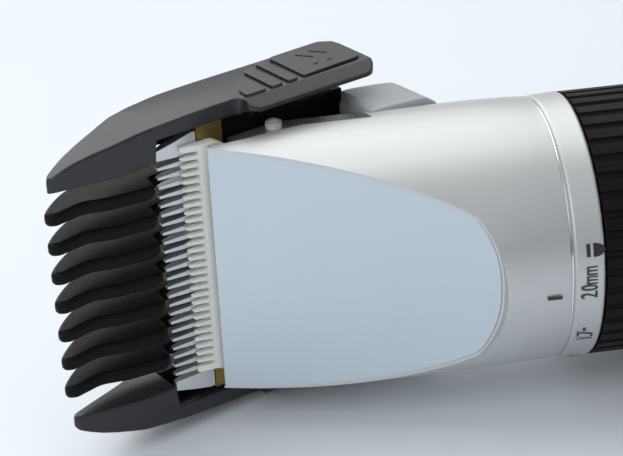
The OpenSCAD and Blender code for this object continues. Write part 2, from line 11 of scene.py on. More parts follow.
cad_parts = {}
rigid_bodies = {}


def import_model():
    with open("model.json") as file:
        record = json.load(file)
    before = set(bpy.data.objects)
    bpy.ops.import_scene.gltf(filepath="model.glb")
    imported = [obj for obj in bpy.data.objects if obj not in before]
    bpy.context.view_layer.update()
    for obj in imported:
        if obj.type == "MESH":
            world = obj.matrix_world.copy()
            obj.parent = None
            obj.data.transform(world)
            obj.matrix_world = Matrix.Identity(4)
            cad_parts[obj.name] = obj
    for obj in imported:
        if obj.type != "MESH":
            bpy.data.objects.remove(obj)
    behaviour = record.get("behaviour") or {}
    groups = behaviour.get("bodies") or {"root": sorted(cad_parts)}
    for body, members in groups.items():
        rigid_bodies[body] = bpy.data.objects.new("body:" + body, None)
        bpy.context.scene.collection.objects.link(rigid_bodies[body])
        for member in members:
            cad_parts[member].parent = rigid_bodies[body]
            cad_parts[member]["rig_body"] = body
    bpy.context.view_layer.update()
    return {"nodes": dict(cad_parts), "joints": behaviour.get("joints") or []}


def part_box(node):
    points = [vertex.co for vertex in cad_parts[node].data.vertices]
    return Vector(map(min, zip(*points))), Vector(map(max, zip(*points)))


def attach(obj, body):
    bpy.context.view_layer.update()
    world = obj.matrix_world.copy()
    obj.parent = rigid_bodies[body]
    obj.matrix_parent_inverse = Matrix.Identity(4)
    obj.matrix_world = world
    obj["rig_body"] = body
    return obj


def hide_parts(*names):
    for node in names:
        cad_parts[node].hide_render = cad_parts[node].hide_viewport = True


bl_info = {
    "name": "Hair Clipper",
    "version": (1, 0, 0),
    "blender": (4, 5, 0),
    "location": "View3D > Sidebar > Clipper",
    "description": "Shapes and finishes a hair clipper around its packed parts",
    "category": "Object",
}

MM = 0.001
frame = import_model()
NODES = frame["nodes"]

# The blade's own frame, from the joint that the comb slides along and from the blade's tips,
# whose two faces lie this far along the frame's y
comb_axis = next(j["axis"] for j in frame["joints"] if j["name"] == "comb_slide")
BLADE_TILT = math.atan2(-comb_axis[1], -comb_axis[0])
BLADE_NEAR = 0.15 * MM
BLADE_FAR = 1.85 * MM
low_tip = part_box("fixed_blade")[0]
TIP = Vector((low_tip.x + BLADE_FAR * math.sin(BLADE_TILT),
              low_tip.y - BLADE_NEAR * math.cos(BLADE_TILT), 0))
BLADE_FRAME = Matrix.Translation(TIP) @ Matrix.Rotation(BLADE_TILT, 4, "Z")

RING_LOW, RING_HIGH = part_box("adjust_ring")
SEAM_X = RING_LOW.x
RING_W = RING_HIGH.x - RING_LOW.x
RING_R = RING_HIGH.z
GRIP_LOW, GRIP_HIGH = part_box("grip_sleeve")
COMB_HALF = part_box("guide_comb")[1].z
PLATE_LOW, PLATE_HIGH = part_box("face_plate")

# The face plate's plane: a point on it near the blades, and its slope
PLATE_SLOPE = math.radians(21.4)
PLATE_NOSE = Vector((TIP.x + 8.2 * MM, -2.9 * MM, 0))
PLATE_THICK = 1.2 * MM
PLATE_STEPS = 56
# The face plate's outline: a radius just inside the housing's, then a rounded end of this half
# width and length, a circle being of power 2
PLATE_R = RING_R - 0.05 * MM
PLATE_END_HALF = RING_R - 3.8 * MM
PLATE_END_LEN = RING_R - 4 * MM
PLATE_END_POWER = 2 / 0.91

# Turn and place across the ring's width of its printing; places count from the head's seam
NUMBER_STEP = math.radians(30)
NUMBER_TURN, NUMBER_BACK = math.radians(1.2), 0.5 * RING_W
DOT_TURN, DOT_BACK, DOT_R = math.radians(6), 0.42 * RING_W, 0.32 * MM
STOP_TURN, STOP_BACK, STOP_R = math.radians(15.2), 0.62 * RING_W, 1.15 * MM
INK_LIFT = 0.015 * MM

# Loose CAD triangles closer or flatter than this become whole faces
MERGE_WITHIN = 0.002 * MM
FLAT_WITHIN = math.radians(0.05)

# Name, place seen from the aim in metres, size in metres, power in watts and colour
LIGHTS = (
    ("overhead", (-0.15, 0.42, 0.75), 1.4, 5.2, (1.0, 1.0, 0.985)),
    ("back", (-0.5, 0.75, 0.3), 0.7, 1.2, (1.0, 1.0, 1.0)),
    ("front", (-0.55, -0.6, 0.5), 0.9, 3.2, (0.94, 0.98, 1.0)),
)
LIGHT_AIM = Vector((-0.13, 0, 0))

# Where along x the comb rests on the floor, the gap left under it, and the floor's half width
REST_X = -137 * MM
FLOOR_GAP = 0.05 * MM
FLOOR_HALF = 1.6

# The camera solved from the photo: its place, directions and focal length in millimetres
CAMERA_PLACE = Vector((SEAM_X - 78.5 * MM, -298.7 * MM, 155.6 * MM))
CAMERA_FORWARD = Vector((0.1182, 0.8861, -0.4481))
CAMERA_UP = Vector((0.1134, 0.4363, 0.8926))
CAMERA_LENS = 118.1

# Sockets of a Mix node that mixes colours
MIX_UNDER, MIX_OVER, MIX_RESULT = 6, 7, 2
DUST_COLOUR = (0.55, 0.54, 0.52)


# ---------------------------------------------------------------- settings


class CLIPPER_PG_sizes(bpy.types.PropertyGroup):
    """Sizes of the finish, in metres"""
    edge: FloatProperty(
        name="Edge rounding", description="Radius on the metal parts' edges",
        default=0.12 * MM, min=0.0, max=1 * MM, subtype="DISTANCE", unit="LENGTH")
    plate_edge: FloatProperty(
        name="Face plate bevel", description="Width of the bright bevel round the face plate",
        default=0.22 * MM, min=0.1 * MM, max=1 * MM, subtype="DISTANCE", unit="LENGTH")
    comb_edge: FloatProperty(
        name="Comb tooth rounding", description="Radius on the long edges of the comb's teeth",
        default=0.75 * MM, min=0.1 * MM, max=1.1 * MM, subtype="DISTANCE", unit="LENGTH")
    comb_tooth: FloatProperty(
        name="Comb tooth", description="Thickness of an inner comb tooth",
        default=2.3 * MM, min=1.6 * MM, max=3 * MM, subtype="DISTANCE", unit="LENGTH")
    comb_pitch: FloatProperty(
        name="Comb pitch", description="Distance between two comb teeth",
        default=5.22 * MM, min=4.8 * MM, max=5.3 * MM, subtype="DISTANCE", unit="LENGTH")
    comb_teeth: IntProperty(
        name="Comb teeth", description="Inner teeth of the guide comb", default=7, min=3, max=7)
    letter: FloatProperty(
        name="Ring numerals", description="Height of the numerals on the ring",
        default=2.9 * MM, min=1 * MM, max=4 * MM, subtype="DISTANCE", unit="LENGTH")


class CLIPPER_PG_colours(bpy.types.PropertyGroup):
    """Colours of the main materials"""
    silver: FloatVectorProperty(
        name="Housing", description="Satin silver of the head housing", subtype="COLOR", size=3,
        default=(0.60, 0.61, 0.61), min=0, max=1)
    # The face plate's blue cast is partly its own cool silver and partly a painted reflection of the
    # pale blue floor in front
    plate: FloatVectorProperty(
        name="Face plate", description="Cool silver of the face plate", subtype="COLOR", size=3,
        default=(0.58, 0.65, 0.70), min=0, max=1)
    # The rear cover's grey sits well below the housing's silver: partly its own darker grey, partly
    # painted shade for the heel's shaded hump
    heel: FloatVectorProperty(
        name="Rear cover", description="Grey of the rear cover", subtype="COLOR", size=3,
        default=(0.17, 0.18, 0.19), min=0, max=1)
    comb: FloatVectorProperty(
        name="Comb", description="Black of the guide comb", subtype="COLOR", size=3,
        default=(0.006, 0.0065, 0.007), min=0, max=1)
    grip: FloatVectorProperty(
        name="Grip", description="Black of the rubber grip", subtype="COLOR", size=3,
        default=(0.003, 0.003, 0.0035), min=0, max=1)
    ceramic: FloatVectorProperty(
        name="Ceramic", description="White of the moving blade", subtype="COLOR", size=3,
        default=(0.83, 0.83, 0.79), min=0, max=1)
    brass: FloatVectorProperty(
        name="Brass", description="Dull gold of the blade's base plate", subtype="COLOR", size=3,
        default=(0.30, 0.22, 0.055), min=0, max=1)
    floor: FloatVectorProperty(
        name="Floor", description="Pale floor", subtype="COLOR", size=3,
        default=(0.80, 0.84, 0.89), min=0, max=1)


def sizes():
    return bpy.context.scene.clipper_sizes


def colours():
    return bpy.context.scene.clipper_colours


# ---------------------------------------------------------------- shader groups


def new_group(name, inputs, outputs):
    """A shader node group with its sockets; returns the group and its in and out nodes."""
    group = bpy.data.node_groups.new(name, "ShaderNodeTree")
    for label, kind, value in inputs:
        socket = group.interface.new_socket(label, in_out="INPUT", socket_type=kind)
        socket.default_value = value
    for label, kind in outputs:
        group.interface.new_socket(label, in_out="OUTPUT", socket_type=kind)
    return group, group.nodes.new("NodeGroupInput"), group.nodes.new("NodeGroupOutput")


def add_node(tree, kind, inputs, **settings):
    """A node with its settings, and its inputs linked to sockets or set to values."""
    node = tree.nodes.new(kind)
    for key, value in settings.items():
        setattr(node, key, value)
    for key, value in inputs.items():
        if isinstance(value, bpy.types.NodeSocket):
            tree.links.new(value, node.inputs[key])
        else:
            node.inputs[key].default_value = value
    return node


def give_mask(group, where, broken, taken, given):
    """Gives the group's mask: two masks multiplied, times its amount."""
    both = add_node(group, "ShaderNodeMath", {0: where, 1: broken}, operation="MULTIPLY")
    scaled = add_node(group, "ShaderNodeMath",
                      {0: both.outputs["Value"], 1: taken.outputs["Amount"]},
                      operation="MULTIPLY", use_clamp=True)
    group.links.new(scaled.outputs["Value"], given.inputs["Mask"])


def edge_wear_group():
    """Mask that is 1 on convex edges, broken up by noise."""
    group = bpy.data.node_groups.get("clipper_edge_wear")
    if group:
        return group
    group, taken, given = new_group(
        "clipper_edge_wear",
        [("Amount", "NodeSocketFloat", 0.5), ("Patch Scale", "NodeSocketFloat", 300.0)],
        [("Mask", "NodeSocketFloat")])
    place = group.nodes.new("ShaderNodeTexCoord")
    shape = group.nodes.new("ShaderNodeNewGeometry")
    edges = add_node(group, "ShaderNodeMapRange",
                     {"Value": shape.outputs["Pointiness"], "From Min": 0.52, "From Max": 0.62})
    patches = add_node(group, "ShaderNodeTexNoise",
                       {"Vector": place.outputs["Object"], "Scale": taken.outputs["Patch Scale"],
                        "Detail": 3.0})
    give_mask(group, edges.outputs["Result"], patches.outputs["Fac"], taken, given)
    return group


def grain_group():
    """Fine surface grain, stretched along any axis, with a slow cloudy mask beside it."""
    group = bpy.data.node_groups.get("clipper_grain")
    if group:
        return group
    group, taken, given = new_group(
        "clipper_grain",
        [("Stretch", "NodeSocketVector", (1.0, 1.0, 1.0)), ("Scale", "NodeSocketFloat", 2000.0),
         ("Cloud Scale", "NodeSocketFloat", 60.0)],
        [("Height", "NodeSocketFloat"), ("Cloud", "NodeSocketFloat")])
    place = group.nodes.new("ShaderNodeTexCoord")
    stretched = add_node(group, "ShaderNodeVectorMath",
                         {0: place.outputs["Object"], 1: taken.outputs["Stretch"]},
                         operation="MULTIPLY")
    fine = add_node(group, "ShaderNodeTexNoise",
                    {"Vector": stretched.outputs["Vector"], "Scale": taken.outputs["Scale"],
                     "Detail": 4.0, "Roughness": 0.6})
    cloud = add_node(group, "ShaderNodeTexNoise",
                     {"Vector": place.outputs["Object"], "Scale": taken.outputs["Cloud Scale"],
                      "Detail": 2.0})
    group.links.new(fine.outputs["Fac"], given.inputs["Height"])
    group.links.new(cloud.outputs["Fac"], given.inputs["Cloud"])
    return group


def dust_group():
    """Thin settled dust and fine hair-cut powder on upward faces."""
    group = bpy.data.node_groups.get("clipper_dust")
    if group:
        return group
    group, taken, given = new_group(
        "clipper_dust", [("Amount", "NodeSocketFloat", 0.1)], [("Mask", "NodeSocketFloat")])
    place = group.nodes.new("ShaderNodeTexCoord")
    shape = group.nodes.new("ShaderNodeNewGeometry")
    up = add_node(group, "ShaderNodeSeparateXYZ", {"Vector": shape.outputs["Normal"]})
    facing = add_node(group, "ShaderNodeMapRange",
                      {"Value": up.outputs["Z"], "From Min": 0.1, "From Max": 1.0})
    specks = add_node(group, "ShaderNodeTexNoise",
                      {"Vector": place.outputs["Object"], "Scale": 900.0, "Detail": 6.0,
                       "Roughness": 0.7})
    sparse = add_node(group, "ShaderNodeMapRange",
                      {"Value": specks.outputs["Fac"], "From Min": 0.5, "From Max": 0.8})
    give_mask(group, facing.outputs["Result"], sparse.outputs["Result"], taken, given)
    return group


def place_group(tree, group, **values):
    """A shader group set into a material, its inputs named with _ for a space."""
    node = tree.nodes.new("ShaderNodeGroup")
    node.node_tree = group
    for key, value in values.items():
        node.inputs[key.replace("_", " ")].default_value = value
    return node


def layer(tree, under, mask, colour):
    """The colour under it, covered by another where the mask is 1."""
    mixed = add_node(tree, "ShaderNodeMix",
                     {"Factor": mask, MIX_UNDER: under, MIX_OVER: (*colour, 1)}, data_type="RGBA")
    return mixed.outputs[MIX_RESULT]


# ---------------------------------------------------------------- materials


def finish_material(name, colour, metallic=0.0, rough=(0.3, 0.45), grain=2000.0, stretch=(1, 1, 1),
                    bump=0.05, depth=0.02, cloud=60.0, tint=0.06, wear=0.0,
                    wear_colour=(0.8, 0.8, 0.8), dust=0.0, **shader):
    """A finish: cloudy colour, grain in roughness and bump, worn edges and dust."""
    found = bpy.data.materials.get(name)
    if found:
        return found
    material = bpy.data.materials.new(name)
    material.use_nodes = True
    tree = material.node_tree
    surface = tree.nodes["Principled BSDF"]
    for key, value in shader.items():
        surface.inputs[key.replace("_", " ")].default_value = value
    surface.inputs["Metallic"].default_value = metallic
    texture = place_group(tree, grain_group(), Scale=grain, Stretch=stretch, Cloud_Scale=cloud)
    dark = [c * (1 - tint) for c in colour]
    light = [min(1.0, c * (1 + tint)) for c in colour]
    result = layer(tree, (*dark, 1), texture.outputs["Cloud"], light)
    if wear:
        worn = place_group(tree, edge_wear_group(), Amount=wear)
        result = layer(tree, result, worn.outputs["Mask"], wear_colour)
    if dust:
        settled = place_group(tree, dust_group(), Amount=dust)
        result = layer(tree, result, settled.outputs["Mask"], DUST_COLOUR)
    tree.links.new(result, surface.inputs["Base Color"])
    roughness = add_node(tree, "ShaderNodeMapRange",
                         {"Value": texture.outputs["Height"], "From Min": 0.3, "From Max": 0.7,
                          "To Min": rough[0], "To Max": rough[1]})
    tree.links.new(roughness.outputs["Result"], surface.inputs["Roughness"])
    relief = add_node(tree, "ShaderNodeBump",
                      {"Height": texture.outputs["Height"], "Strength": bump,
                       "Distance": depth * MM})
    tree.links.new(relief.outputs["Normal"], surface.inputs["Normal"])
    return material


def satin_silver():
    return finish_material("satin_silver", colours().silver, metallic=0.8, rough=(0.40, 0.48),
                           grain=2600, bump=0.12, depth=0.01, tint=0.03, cloud=40, wear=0.25,
                           wear_colour=(0.85, 0.86, 0.87), Specular_IOR_Level=0.5)


# Face plate: cool silver whose blue cast partly paints in the floor's reflection
def plate_satin_and_reflection():
    return finish_material("plate_satin_and_reflection", colours().plate, metallic=0.75, rough=(0.34, 0.42),
                           grain=3000, bump=0.1, depth=0.01, tint=0.03, cloud=55, wear=0.5,
                           wear_colour=(0.95, 0.97, 0.98), Coat_Weight=0.15, Coat_Roughness=0.2)


# Rear cover: a darker grey that partly paints in the shade on the heel's hump
def heel_grey():
    return finish_material("heel_grey", colours().heel, metallic=0.35, rough=(0.30, 0.42),
                           grain=2200, bump=0.15, depth=0.02, tint=0.06, wear=0.2,
                           wear_colour=(0.4, 0.42, 0.43))


def polished_trim():
    return finish_material("polished_trim", (0.86, 0.87, 0.88), metallic=1.0, rough=(0.08, 0.14),
                           grain=1500, bump=0.03, tint=0.02)


def comb_black():
    return finish_material("comb_black", colours().comb, rough=(0.24, 0.36), grain=1400, bump=0.16,
                           depth=0.03, tint=0.15, cloud=90, wear=0.35,
                           wear_colour=(0.035, 0.036, 0.037), dust=0.02, Specular_IOR_Level=0.5)


# Teeth of the comb: the comb's black at half its value, a painted shade that darkens the teeth beside
# the walls; the finish is also rougher and less glossy
def comb_matt_shaded():
    return finish_material("comb_matt_shaded", [c * 0.5 for c in colours().comb], rough=(0.34, 0.46),
                           grain=1400, bump=0.16, depth=0.03, tint=0.15, cloud=90, wear=0.3,
                           wear_colour=(0.02, 0.021, 0.022), Specular_IOR_Level=0.14)


def grip_rubber():
    return finish_material("grip_rubber", colours().grip, rough=(0.42, 0.58), grain=2600, bump=0.35,
                           depth=0.03, tint=0.2, cloud=120, wear=0.5,
                           wear_colour=(0.02, 0.021, 0.022), dust=0.02, Specular_IOR_Level=0.14)


def moulded_black():
    return finish_material("moulded_black", (0.014, 0.014, 0.015), rough=(0.32, 0.48), grain=2000,
                           bump=0.3, depth=0.03, tint=0.15, wear=0.25, wear_colour=(0.06, 0.06, 0.06))


def ceramic_white():
    return finish_material("ceramic_white", colours().ceramic, rough=(0.22, 0.34), grain=1800,
                           bump=0.06, depth=0.02, tint=0.03, cloud=140, wear=0.1,
                           wear_colour=(0.95, 0.95, 0.93), Subsurface_Weight=0.12,
                           Subsurface_Scale=0.0006, Coat_Weight=0.1)


def blade_steel():
    return finish_material("blade_steel", (0.72, 0.73, 0.74), metallic=1.0, rough=(0.18, 0.34),
                           grain=2500, stretch=(0.15, 1, 1), bump=0.12, depth=0.01, tint=0.05,
                           wear=0.4, wear_colour=(0.93, 0.94, 0.95))


def dull_brass():
    return finish_material("dull_brass", colours().brass, metallic=0.85, rough=(0.28, 0.42),
                           grain=2200, stretch=(1, 1, 0.2), bump=0.12, depth=0.01, tint=0.12,
                           cloud=200, wear=0.3, wear_colour=(0.62, 0.5, 0.2))


def plain_steel():
    return finish_material("plain_steel", (0.56, 0.57, 0.58), metallic=1.0, rough=(0.2, 0.35),
                           grain=2200, stretch=(0.2, 1, 1), bump=0.1, depth=0.01, tint=0.06,
                           wear=0.2, wear_colour=(0.85, 0.86, 0.87))


def white_nylon():
    return finish_material("white_nylon", (0.82, 0.82, 0.79), rough=(0.3, 0.4), grain=1800, bump=0.08,
                           depth=0.02, tint=0.03, Subsurface_Weight=0.15, Subsurface_Scale=0.0008)


def dark_nylon():
    return finish_material("dark_nylon", (0.045, 0.046, 0.05), rough=(0.38, 0.52), grain=1800,
                           bump=0.25, depth=0.03, tint=0.12, wear=0.15,
                           wear_colour=(0.12, 0.12, 0.13))


def cell_wrap():
    return finish_material("cell_wrap", (0.05, 0.30, 0.17), rough=(0.22, 0.34), grain=1200,
                           stretch=(1, 0.3, 0.3), bump=0.08, depth=0.02, tint=0.08, Coat_Weight=0.3)


def board_green():
    return finish_material("board_green", (0.015, 0.13, 0.055), rough=(0.2, 0.4), grain=900,
                           stretch=(1, 1, 0.25), bump=0.2, depth=0.03, tint=0.3, cloud=500)


def lead_red():
    return finish_material("lead_red", (0.42, 0.02, 0.02), rough=(0.35, 0.5), grain=1500, bump=0.1,
                           tint=0.1)


def led_red():
    return finish_material("led_red", (0.65, 0.06, 0.04), rough=(0.12, 0.2), grain=1200, bump=0.05,
                           tint=0.1, Subsurface_Weight=0.2, Subsurface_Scale=0.0005)


def clear_lens():
    return finish_material("clear_lens", (0.80, 0.88, 0.90), rough=(0.06, 0.12), grain=1500, bump=0.03,
                           tint=0.03, Coat_Weight=0.6, IOR=1.49)


def ink_black():
    return finish_material("ink_black", (0.02, 0.02, 0.022), rough=(0.35, 0.5), grain=4000, bump=0.1,
                           tint=0.2, cloud=900)


def table_pale():
    return finish_material("table_pale", colours().floor, rough=(0.34, 0.42), grain=90, bump=0.02,
                           depth=0.2, cloud=3, tint=0.012, Specular_IOR_Level=0.35)


# ---------------------------------------------------------------- mesh helpers


def smooth_by_angle(bm, degrees):
    """Smooth faces, with edges sharper than the angle kept crisp."""
    limit = math.radians(degrees)
    for face in bm.faces:
        face.smooth = True
    for edge in bm.edges:
        edge.smooth = edge.is_manifold and edge.calc_face_angle(0) < limit


def new_object(name, data):
    """A new object in the scene."""
    made = bpy.data.objects.new(name, data)
    bpy.context.scene.collection.objects.link(made)
    return made


def even_normals(piece):
    """Large flat faces keep flat shading beside their rounded edges."""
    finish = piece.modifiers.new("even_normals", "WEIGHTED_NORMAL")
    finish.mode = "FACE_AREA"
    finish.keep_sharp = True


def add_piece(bm, name, material, body, stands_for=(), sharp=38, flatten=True):
    """Turns a finished bmesh into a piece that rides on a body."""
    smooth_by_angle(bm, sharp)
    mesh = bpy.data.meshes.new(name)
    bm.to_mesh(mesh)
    bm.free()
    piece = new_object(name, mesh)
    mesh.materials.append(material)
    if flatten:
        even_normals(piece)
    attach(piece, body)
    if stands_for:
        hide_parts(*stands_for)
    return piece


def merged_copy(node):
    """A copy of a CAD node's mesh with its loose triangles merged into whole faces."""
    bm = bmesh.new()
    bm.from_mesh(NODES[node].data)
    bmesh.ops.remove_doubles(bm, verts=bm.verts, dist=MERGE_WITHIN)
    bmesh.ops.dissolve_limit(bm, angle_limit=FLAT_WITHIN, verts=bm.verts, edges=bm.edges)
    return bm


def bevel_sharp(bm, width, segments=3, degrees=38, chosen=None):
    """Rounds the edges that turn by more than the angle."""
    limit = math.radians(degrees)
    edges = [e for e in bm.edges
             if e.is_manifold and e.calc_face_angle(0) > limit and (chosen is None or chosen(e))]
    if edges and width > 0:
        bmesh.ops.bevel(bm, geom=edges, offset=width, offset_type="OFFSET", segments=segments,
                        profile=0.5, affect="EDGES", clamp_overlap=True, material=-1)


def rounded_node(node, material, width, segments=3, degrees=38):
    """A CAD node with its edges rounded, standing for that node."""
    bm = merged_copy(node)
    bevel_sharp(bm, width, segments, degrees)
    return add_piece(bm, node + "_finished", material, NODES[node]["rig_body"], (node,))


def rounded_outline(points, radius, steps=4):
    """The polygon's points with every corner turned into a short arc, in millimetres."""
    out = []
    count = len(points)
    for i in range(count):
        before, here, after = (Vector(points[(i + k) % count]) for k in (-1, 0, 1))
        back, on = before - here, after - here
        reach = min(radius, back.length * 0.45, on.length * 0.45)
        start, end = here + back.normalized() * reach, here + on.normalized() * reach
        for k in range(steps + 1):
            t = k / steps
            out.append(start * (1 - t) ** 2 + here * 2 * t * (1 - t) + end * t ** 2)
    return out


def extruded(outline, low, high):
    """A closed slab from (back, up) points in the blade's frame, z from low to high."""
    bm = bmesh.new()
    verts = [bm.verts.new((p[0] * MM, -p[1] * MM, low * MM)) for p in outline]
    face = bm.faces.new(verts)
    raised = bmesh.ops.extrude_face_region(bm, geom=[face])["geom"]
    moved = [v for v in raised if isinstance(v, bmesh.types.BMVert)]
    bmesh.ops.translate(bm, verts=moved, vec=(0, 0, (high - low) * MM))
    bmesh.ops.recalc_face_normals(bm, faces=bm.faces)
    return bm


def slab(outline, corner, low, high, edge, segments=2, steps=4, chosen=None):
    """An extruded outline with rounded corners, its sharp edges bevelled by edge in metres."""
    bm = extruded(rounded_outline(outline, corner, steps), low, high)
    bevel_sharp(bm, edge, segments, 50, chosen)
    return bm


def block(size, centre, edge, segments=3):
    """A box in millimetres with rounded edges."""
    bm = bmesh.new()
    bmesh.ops.create_cube(bm, size=1)
    bmesh.ops.scale(bm, verts=bm.verts, vec=[s * MM for s in size])
    bmesh.ops.translate(bm, verts=bm.verts, vec=[c * MM for c in centre])
    bevel_sharp(bm, edge * MM, segments)
    return bm


def join_into(target, bm):
    """Adds one bmesh's shape to another and frees it."""
    mesh = bpy.data.meshes.new("joining")
    bm.to_mesh(mesh)
    bm.free()
    target.from_mesh(mesh)
    bpy.data.meshes.remove(mesh)


def mirrored(bm):
    """A copy of the shape mirrored across the middle of the blade."""
    copy = bm.copy()
    bmesh.ops.scale(copy, verts=copy.verts, vec=(1, 1, -1))
    bmesh.ops.reverse_faces(copy, faces=copy.faces)
    return copy


def cut_at(bm, place, normal, drop=False):
    """New edges where a plane crosses the shape; drop removes what lies beyond it."""
    bmesh.ops.bisect_plane(bm, geom=[*bm.verts, *bm.edges, *bm.faces], dist=1e-7,
                           plane_co=place, plane_no=normal, clear_outer=drop)


def interpolate(stations, x):
    """Value at x on the straight lines that join (x, value) stations."""
    if x <= stations[0][0]:
        return stations[0][1]
    for (x0, y0), (x1, y1) in zip(stations, stations[1:]):
        if x <= x1:
            return y0 + (y1 - y0) * (x - x0) / (x1 - x0)
    return stations[-1][1]


# ---------------------------------------------------------------- guide comb

# All outlines are (back, up) millimetres from the blade's tips.
# Inner tooth: along its upper edge to the back, then along the skin side
TOOTH = [(-19.9, -1.9), (-18.6, -1.1), (-13.4, -2.0), (-9.3, -0.3), (-2.5, 0.7), (-0.9, -0.3),
         (-0.7, -2.8), (38.6, -2.8), (38.6, -9.4), (37, -10.4), (2, -10.4), (-4, -10.3), (-8.5, -9.9),
         (-13.9, -8.0), (-16.7, -6.1), (-18.8, -4.3), (-20, -2.9)]
# Side wall with its release tab
WALL = [(-19.6, -1.7), (-18.5, -1.1), (-10, 0.6), (-8, 1), (15, 1), (15.5, 3.6), (16.8, 4.6),
        (39.4, 4.6), (41.3, 2.6), (41.3, -8.6), (38.4, -10.7), (6, -10.4), (-0.7, -9.2), (-3.9, -8.4),
        (-7.9, -6.6), (-11.5, -5.4), (-15.1, -4.2), (-18.7, -2.9)]
# Outer and inner half width along the wall, from the tip to the tab
WALL_OUT = [(-19.6, 21.9), (-18.8, 22.9), (-17, 23.8), (-15, 24.6), (-12.5, 25.3), (-10, 25.85),
            (-7, 26.4), (-4, 26.8), (0, 27.1), (5, 27.35), (10, 27.5), (14, 27.55), (41.4, 27.55)]
WALL_IN = [(-19.6, 20.3), (-1.2, 20.6), (-0.8, 24.6), (15.0, 24.6), (15.5, 25.6), (41.4, 25.6)]
# The slab that the wall is shaped from: its thickness before it is flared
WALL_SLAB = 4
# Behind TAB_BACK and above TAB_EDGE_UP the outside slopes inwards, by TAB_EDGE_IN at TAB_TOP
TAB_BACK = 15.4
TAB_TOP = 4.6
TAB_EDGE_UP = 2.0
TAB_EDGE_IN = 1.3
# Below this height the outside curves inwards, by WALL_TUCK_IN at WALL_TUCK_DEEP further down
WALL_TUCK_UP = -6.5
WALL_TUCK_DEEP = 4
WALL_TUCK_IN = 0.5
# Thumb pads on the release tab: three bars and a panel
PADS = [
    [(16.4, -1.0), (16.0, 2.0), (20.1, 2.0), (20.1, -6.0)],
    [(21.2, -6.8), (21.2, 1.9), (23.5, 1.8), (23.5, -8.0)],
    [(24.6, -8.3), (24.6, 1.7), (26.7, 1.6), (26.7, -8.7)],
    [(27.8, -8.9), (27.8, 1.5), (39.4, 0.9), (40.4, -0.2), (40.4, -7.6), (38.2, -9.2)],
]
# An arrow on the panel, measured back from its start
ARROW = [(0, -6.6), (1.0, -6.6), (3.0, -3.9), (1.0, -1.2), (0, -1.2), (2.0, -3.9)]
ARROW_STARTS = (31.6, 34.4)
# Under the tab: the web down to the comb's floor, its foot, and the sill in front of it
WEB = [(24.8, -3.2), (24.8, 3.4), (31.8, 3.4), (36.8, -4.6), (38.6, -8.6), (38.4, -10.3),
       (24.8, -10.3)]
FOOT = [(12, -2.9), (34, -2.9), (38.5, -8.6), (38.5, -10.3), (12, -10.3)]
SILL = [(-0.9, -5), (15, -5), (15, -10.2), (-0.9, -9)]


def tooth_shape():
    """One inner tooth, with its long edges rounded."""
    half = sizes().comb_tooth / MM / 2
    return slab(TOOTH, 1.3, -half, half, sizes().comb_edge, 4)


def side_wall_shape():
    """The +Z side wall with its tab, flared along its length."""
    bm = slab(WALL, 1.6, 0, WALL_SLAB, 0.9 * MM, 4)
    for back, _ in WALL_OUT[1:-1] + WALL_IN[1:-1]:
        cut_at(bm, (back * MM, 0, 0), (1, 0, 0))
    for up in (TAB_EDGE_UP, TAB_EDGE_UP - 0.5, -3.0, WALL_TUCK_UP):
        cut_at(bm, (0, -up * MM, 0), (0, 1, 0))
    for vert in bm.verts:
        back, up, share = vert.co.x / MM, -vert.co.y / MM, vert.co.z / MM / WALL_SLAB
        outer = interpolate(WALL_OUT, back)
        if back > TAB_BACK:
            outer -= TAB_EDGE_IN * max(0.0, up - TAB_EDGE_UP) / (TAB_TOP - TAB_EDGE_UP)
        outer -= WALL_TUCK_IN * max(0.0, (WALL_TUCK_UP - up) / WALL_TUCK_DEEP) ** 2
        vert.co.z = (interpolate(WALL_IN, back) * (1 - share) + outer * share) * MM
    return bm


def tab_pads():
    """Raised thumb pads on the +Z release tab, with a plain double arrow on the panel."""
    low, high = COMB_HALF / MM - 0.7, COMB_HALF / MM
    pads = bmesh.new()
    for outline in PADS:
        join_into(pads, slab(outline, 0.7, low, high, 0.22 * MM, 3,
                             chosen=lambda e: min(v.co.z for v in e.verts) > (high - 0.1) * MM))
    for start in ARROW_STARTS:
        arrow = [(start + back, up) for back, up in ARROW]
        join_into(pads, slab(arrow, 0.25, high - 0.3, high + 0.12, 0.1 * MM, steps=3))
    return pads


def arm_shape():
    """Web under the +Z tab that carries it down to the comb's floor."""
    bm = slab(WEB, 0.8, 24.4, 26.4, 0.25 * MM)
    join_into(bm, slab(FOOT, 0.6, 21, 26.8, 0.3 * MM))
    join_into(bm, slab(SILL, 0.6, 20.7, 25.4, 0.3 * MM))
    for back in (15.9, 17.6):
        join_into(bm, block((0.5, 6.2, 1.2), (back, -0.4, 25.3), 0.15))
    return bm


class CLIPPER_OT_comb(bpy.types.Operator):
    """Build the guide comb with its teeth, walls and release tabs"""
    bl_idname = "clipper.comb"
    bl_label = "Guide Comb"

    def execute(self, context):
        teeth = bmesh.new()
        count = sizes().comb_teeth
        for i in range(count):
            tooth = tooth_shape()
            offset = (i - (count - 1) / 2) * sizes().comb_pitch
            bmesh.ops.translate(tooth, verts=tooth.verts, vec=(0, 0, offset))
            join_into(teeth, tooth)
        join_into(teeth, block((26.4, 2.2, 42.8), (25.3, 3.9, 0), 0.4))
        walls = bmesh.new()
        sides = ((walls, side_wall_shape()), (walls, tab_pads()), (teeth, arm_shape()))
        for target, shape in sides:
            join_into(target, mirrored(shape))
            join_into(target, shape)
        # The teeth take the copy of the comb's black darkened by painted shade, the walls the plain
        # black
        finished = ((teeth, "comb_teeth", comb_matt_shaded()), (walls, "comb_walls", comb_black()))
        for bm, name, material in finished:
            bmesh.ops.transform(bm, matrix=BLADE_FRAME, verts=bm.verts)
            add_piece(bm, name, material, "comb", ("guide_comb",), sharp=45)
        return {"FINISHED"}


# ---------------------------------------------------------------- head and blades


